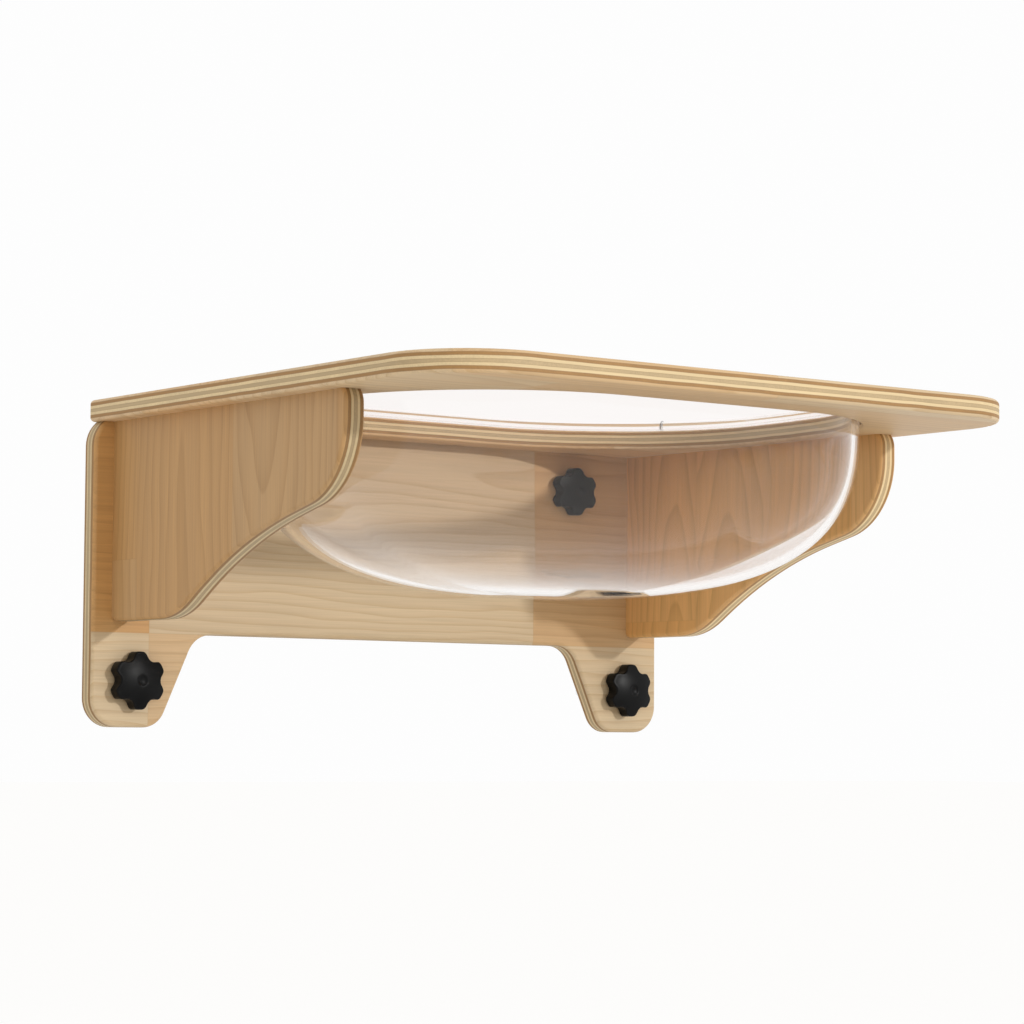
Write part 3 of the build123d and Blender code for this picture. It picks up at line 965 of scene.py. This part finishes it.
def make_plating():
    """Colour between two tones, a roughness and a height, all uneven over the surface."""
    outputs = [("Colour", "Color"), ("Roughness", "Float"), ("Height", "Float")]
    tree, given, result = new_group("plating", plating_inputs, outputs)
    uneven = noise(tree, object_place(tree), given["Scale"], detail=3.0)
    patch = rescale(tree, uneven, 0.35, 0.65)
    dullest = calc(tree, "ADD", given["Polish"], patch_roughness)
    give(tree, result, {
        "Colour": blend(tree, patch, given["Dull"], given["Light"]),
        "Roughness": calc(tree, "MULTIPLY_ADD", patch, -patch_roughness, dullest),
        "Height": uneven,
    })
    return tree


def metal(name, light, dull, polish):
    """Metal with the plating group's colour, roughness and height."""
    material, tree, shader = new_material(name)
    values = {"Light": light, "Dull": dull, "Polish": polish}
    coat = add(tree, "ShaderNodeGroup", values, node_tree=plating).outputs
    give(tree, shader, {
        "Base Color": coat["Colour"],
        "Roughness": coat["Roughness"],
        "Normal": bump(tree, coat["Height"], strength=0.1, distance=0.00005),
        "Metallic": 1.0,
    })
    return material


plating = make_plating()
steel = metal("zinc_steel", light=(0.66, 0.66, 0.65, 1), dull=(0.50, 0.50, 0.50, 1), polish=0.26)
brass = metal("turned_brass", light=(0.80, 0.62, 0.30, 1), dull=(0.62, 0.45, 0.20, 1), polish=0.22)
print("metals:", steel.name, brass.name)

# %% [markdown]
# ## Studs
#
# A thread is a profile that climbs as it turns: the radius depends on the height less one pitch
# for each turn. On a table of rings that is a single line, and the crest stays inside the outer
# size of the stud.

# %% Threaded studs
stud_radius, stud_head, head_thickness, head_edge = 0.003, 0.006, 0.0025, 0.0004
thread_depth, thread_pitch, thread_gap = 0.00055, 0.001, 0.0005
steps_per_turn, thread_steps, tip_edge = 8, 212, 0.0002
stud_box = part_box("stud_upper_left")
stud_low, stud_high = -stud_box[1].y, -stud_box[0].y


def stud_rings(around=40):
    """Rings of the head, then of the shank, whose radius follows a wave that climbs as it turns."""
    head_top = stud_low + head_thickness
    head = [(stud_radius, stud_low), (stud_head - head_edge, stud_low)]
    head += [(stud_head, stud_low + head_edge), (stud_head, head_top - head_edge)]
    head += [(stud_head - head_edge, head_top), (stud_radius, head_top)]
    height = head_top + thread_gap + thread_pitch / steps_per_turn * np.arange(thread_steps)
    turn = np.linspace(0, 2 * pi, around, endpoint=False)
    climb = height[:, None] / thread_pitch - turn / (2 * pi)
    radius = stud_radius - thread_depth * np.abs(2 * (climb % 1) - 1)
    level = np.repeat(height[:, None], around, 1)
    shank = np.stack([radius * np.cos(turn), radius * np.sin(turn), level], -1)
    tip = [(stud_radius - 4 * tip_edge, stud_high - tip_edge)]
    tip += [(stud_radius - 6 * tip_edge, stud_high), (4 * tip_edge, stud_high)]
    return np.vstack([lathe(head, around), shank, lathe(tip, around)])


print("studs reach from", round(stud_low, 4), "to", round(stud_high, 4), "m off the glass")

# %% [markdown]
# ## Washers and inserts
#
# The washer is a closed loop of rings, because its hole goes right through, and its edges are
# broken as punching leaves them. The inserts sit inside the knobs and keep their CAD mesh with a
# turned brass finish.

# %% Washers, and all the metal at each corner
washer_bore, washer_radius, washer_edge = 0.0032, 0.008, 0.0002
washer_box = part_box("washer_upper_left")
washer_low, washer_high = -washer_box[1].y, -washer_box[0].y


def washer_rings(around=72):
    """Closed loop of rings: outer wall, top, bore and back, with broken edges."""
    low, high = washer_low + washer_edge, washer_high - washer_edge
    bore, outside = washer_bore + washer_edge, washer_radius - washer_edge
    profile = [(washer_radius, low), (washer_radius, high), (outside, washer_high)]
    profile += [(bore, washer_high), (washer_bore, high), (washer_bore, low)]
    profile += [(bore, washer_low), (outside, washer_low)]
    return lathe(profile, around)


for corner, (x, z) in cup_places.items():
    drawn = (stud_rings(), on_axis(stud_low), on_axis(stud_high))
    shell = skin(*(into_room(points, x, 0.0, z) for points in drawn))
    stud = "stud_" + corner
    make_piece("threaded_" + stud, [shell], steel, "frame", [stud], sharp=25)

    shell = skin(into_room(washer_rings(), x, 0.0, z), ring_loop=True)
    washer = "washer_" + corner
    make_piece("plain_" + washer, [shell], steel, washer, [washer])
    refinish("insert_" + corner, brass)

# %% [markdown]
# ## Wood screws
#
# The screws are countersunk, with a cross recess for the driver. The recess is a height taken
# away from the flat head wherever a point lies within either bar of the cross, deepest in the
# middle. Below the head come the cone and the shank in the wood. Three screws join the board to
# each bracket, three hold the shelf on each bracket, and four hold it on the board.

# %% Screws
screw_head, screw_shank, screw_point, screw_length = 0.004, 0.002, 0.0003, 0.040
head_rim, cone_end, taper_start = 0.0001, 0.0021, 0.035
bar_half, bar_slope, bar_reach, end_slope = 0.00050, 0.00012, 0.0023, 0.0002
recess_depth, recess_extra, recess_radius = 0.0004, 0.0010, 0.0024


def recess_bar(side, along):
    """1 inside a bar of the cross, 0 outside it, with short slopes at its walls."""
    across = np.clip((bar_half - np.abs(side)) / bar_slope, 0, 1)
    return across * np.clip((bar_reach - np.abs(along)) / end_slope, 0, 1)


def screw_rings(around=96):
    """Rings out over the head with its recess, then down the cone and the shank to the point."""
    radius = np.linspace(0.05, 0.97, 22) * screw_head
    turn = np.linspace(0, 2 * pi, around, endpoint=False)
    x, y = np.outer(radius, np.cos(turn)), np.outer(radius, np.sin(turn))
    deep = recess_depth + recess_extra * np.clip(1 - np.hypot(x, y) / recess_radius, 0, 1)
    head = np.stack([x, y, deep * np.maximum(recess_bar(x, y), recess_bar(y, x))], -1)
    body = [(screw_head, head_rim), (screw_shank, cone_end)]
    body += [(screw_shank, taper_start), (screw_point, screw_length - head_rim)]
    return np.vstack([head, lathe(body, around)])


def downwards(points, x, y, z):
    """Local x, y and z laid along +X, -Y and straight down, from (x, y, z)."""
    return np.stack([x + points[..., 0], y - points[..., 1], z - points[..., 2]], -1)


bracket_low, bracket_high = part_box("right_bracket")
bracket_x = (bracket_low.x + bracket_high.x) / 2
board_middle = (board_low.y + board_high.y) / 2
spread = (0.16, 0.50, 0.84)
down = [under_shelf - share * (under_shelf - bracket_low.z) for share in spread]
out = [board_low.y - share * (board_low.y - bracket_low.y) for share in spread]
along = [share * board_high.x for share in (-0.76, -0.26, 0.26, 0.76)]
sides = (-bracket_x, bracket_x)
from_behind = [(x, board_high.y, z) for x in sides for z in down]
into_brackets = [(x, y, shelf_top) for x in sides for y in out]
into_board = [(x, board_middle, shelf_top) for x in along]
screws = (
    ("screws_from_behind", "bracket_screws", into_room, from_behind),
    ("screws_into_brackets", "shelf_bracket_screws", downwards, into_brackets),
    ("screws_into_board", "shelf_board_screws", downwards, into_board),
)
for name, node, lay, places in screws:
    drawn = (screw_rings(), on_axis(recess_depth + recess_extra), on_axis(screw_length))
    shells = [skin(*(lay(points, *place) for points in drawn)) for place in places]
    make_piece(name, shells, steel, "frame", [node], sharp=30)

# %% [markdown]
# ## Pins
#
# Four pins in the shelf pass through the flange of the bowl and keep it in place. They are plain
# wire with a rounded tip: a short cone, a straight side and an arc.

# %% Pins
pin_radius, pin_foot_edge, pin_foot_share = 0.00125, 0.0003, 0.6
pin_low, pin_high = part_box("bowl_pins")
pin_length = pin_high.z - pin_low.z

foot = [(pin_radius * pin_foot_share, 0.0), (pin_radius, pin_foot_edge)]
pin_rings = lathe(np.vstack([foot, arc((0, pin_length - pin_radius), pin_radius, 0, 80, 8)]), 40)
pin_shells = []
for x in (pin_low.x + pin_radius, pin_high.x - pin_radius):
    for y in (pin_low.y + pin_radius, pin_high.y - pin_radius):
        origin = np.array([x, y, pin_low.z])
        pin_shells.append(skin(pin_rings + origin, origin, origin + on_axis(pin_length)))
make_piece("rounded_pins", pin_shells, steel, "frame", ["bowl_pins"])
